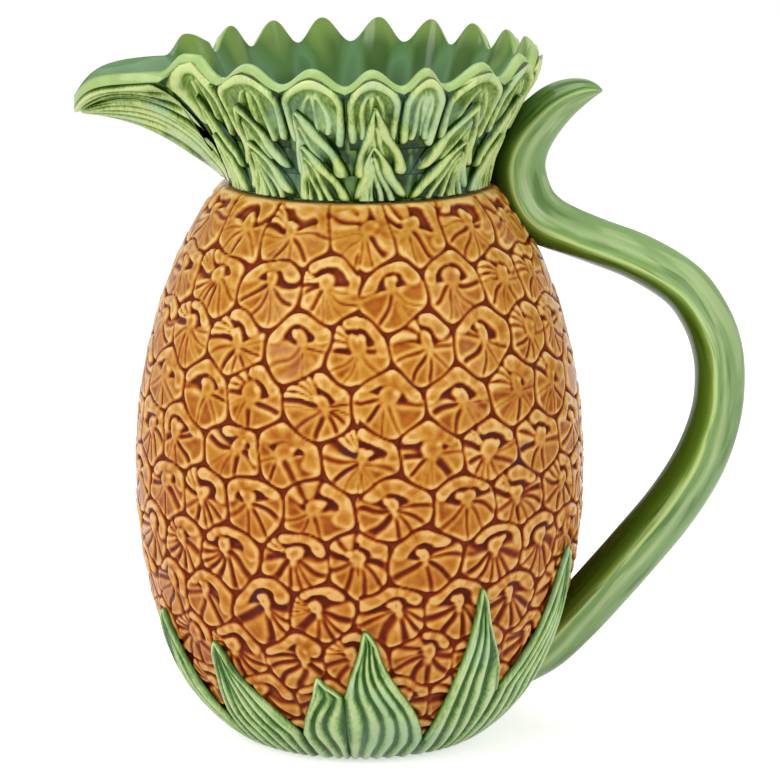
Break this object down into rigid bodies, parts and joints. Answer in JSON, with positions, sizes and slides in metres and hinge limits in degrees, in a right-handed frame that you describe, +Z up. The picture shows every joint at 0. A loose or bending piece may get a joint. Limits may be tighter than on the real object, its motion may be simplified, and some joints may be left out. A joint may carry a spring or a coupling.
{
  "type": "pineapple jug",
  "caption": "Glazed earthenware pitcher shaped as a pineapple, with a leaf crown for a mouth, a pouring spout and a leaf-stem handle.",
  "frame": {"origin": "centre of the flat foot, on the surface that the jug stands on", "axes": "+Z up the jug, +X towards the handle, -X towards the spout, +Y shortest side"},
  "size_m": [0.2455, 0.1667, 0.2592],
  "materials": {
    "fruit_glaze": "glossy amber glaze, darker red-brown where it pools in the grooves",
    "crown_glaze": "glossy leaf-green glaze, pale on the ribs and blue-green in the hollows",
    "base_leaf_glaze": "glossy pale green glaze, darker in the flutes",
    "handle_glaze": "glossy green glaze, celadon outside, dark olive inside, with a yellow-green ridge"
  },
  "bodies": {
    "root": {"fruit_body": "fruit_glaze", "crown_collar": "crown_glaze", "handle": "handle_glaze", "rim_leaf_01": "crown_glaze", "rim_leaf_02": "crown_glaze", "rim_leaf_03": "crown_glaze", "rim_leaf_04": "crown_glaze", "rim_leaf_05": "crown_glaze", "rim_leaf_06": "crown_glaze", "rim_leaf_07": "crown_glaze", "rim_leaf_08": "crown_glaze", "rim_leaf_09": "crown_glaze", "rim_leaf_10": "crown_glaze", "rim_leaf_11": "crown_glaze", "rim_leaf_12": "crown_glaze", "rim_leaf_13": "crown_glaze", "rim_leaf_14": "crown_glaze", "rim_leaf_15": "crown_glaze", "rim_leaf_16": "crown_glaze", "rim_leaf_17": "crown_glaze", "middle_leaf_01": "crown_glaze", "middle_leaf_02": "crown_glaze", "middle_leaf_03": "crown_glaze", "middle_leaf_04": "crown_glaze", "middle_leaf_05": "crown_glaze", "middle_leaf_06": "crown_glaze", "middle_leaf_07": "crown_glaze", "middle_leaf_08": "crown_glaze", "middle_leaf_09": "crown_glaze", "middle_leaf_10": "crown_glaze", "middle_leaf_11": "crown_glaze", "middle_leaf_12": "crown_glaze", "lower_leaf_01": "crown_glaze", "lower_leaf_02": "crown_glaze", "lower_leaf_03": "crown_glaze", "lower_leaf_04": "crown_glaze", "lower_leaf_05": "crown_glaze", "lower_leaf_06": "crown_glaze", "lower_leaf_07": "crown_glaze", "lower_leaf_08": "crown_glaze", "lower_leaf_09": "crown_glaze", "lower_leaf_10": "crown_glaze", "lower_leaf_11": "crown_glaze", "lower_leaf_12": "crown_glaze", "spout_leaf_near": "crown_glaze", "spout_leaf_far": "crown_glaze", "base_leaf_01": "base_leaf_glaze", "base_leaf_02": "base_leaf_glaze", "base_leaf_03": "base_leaf_glaze", "base_leaf_04": "base_leaf_glaze", "base_leaf_05": "base_leaf_glaze", "base_leaf_06": "base_leaf_glaze", "base_leaf_07": "base_leaf_glaze", "base_leaf_08": "base_leaf_glaze", "base_leaf_09": "base_leaf_glaze", "base_leaf_10": "base_leaf_glaze", "base_leaf_11": "base_leaf_glaze", "base_leaf_12": "base_leaf_glaze", "base_leaf_13": "base_leaf_glaze"}
  },
  "joints": []
}
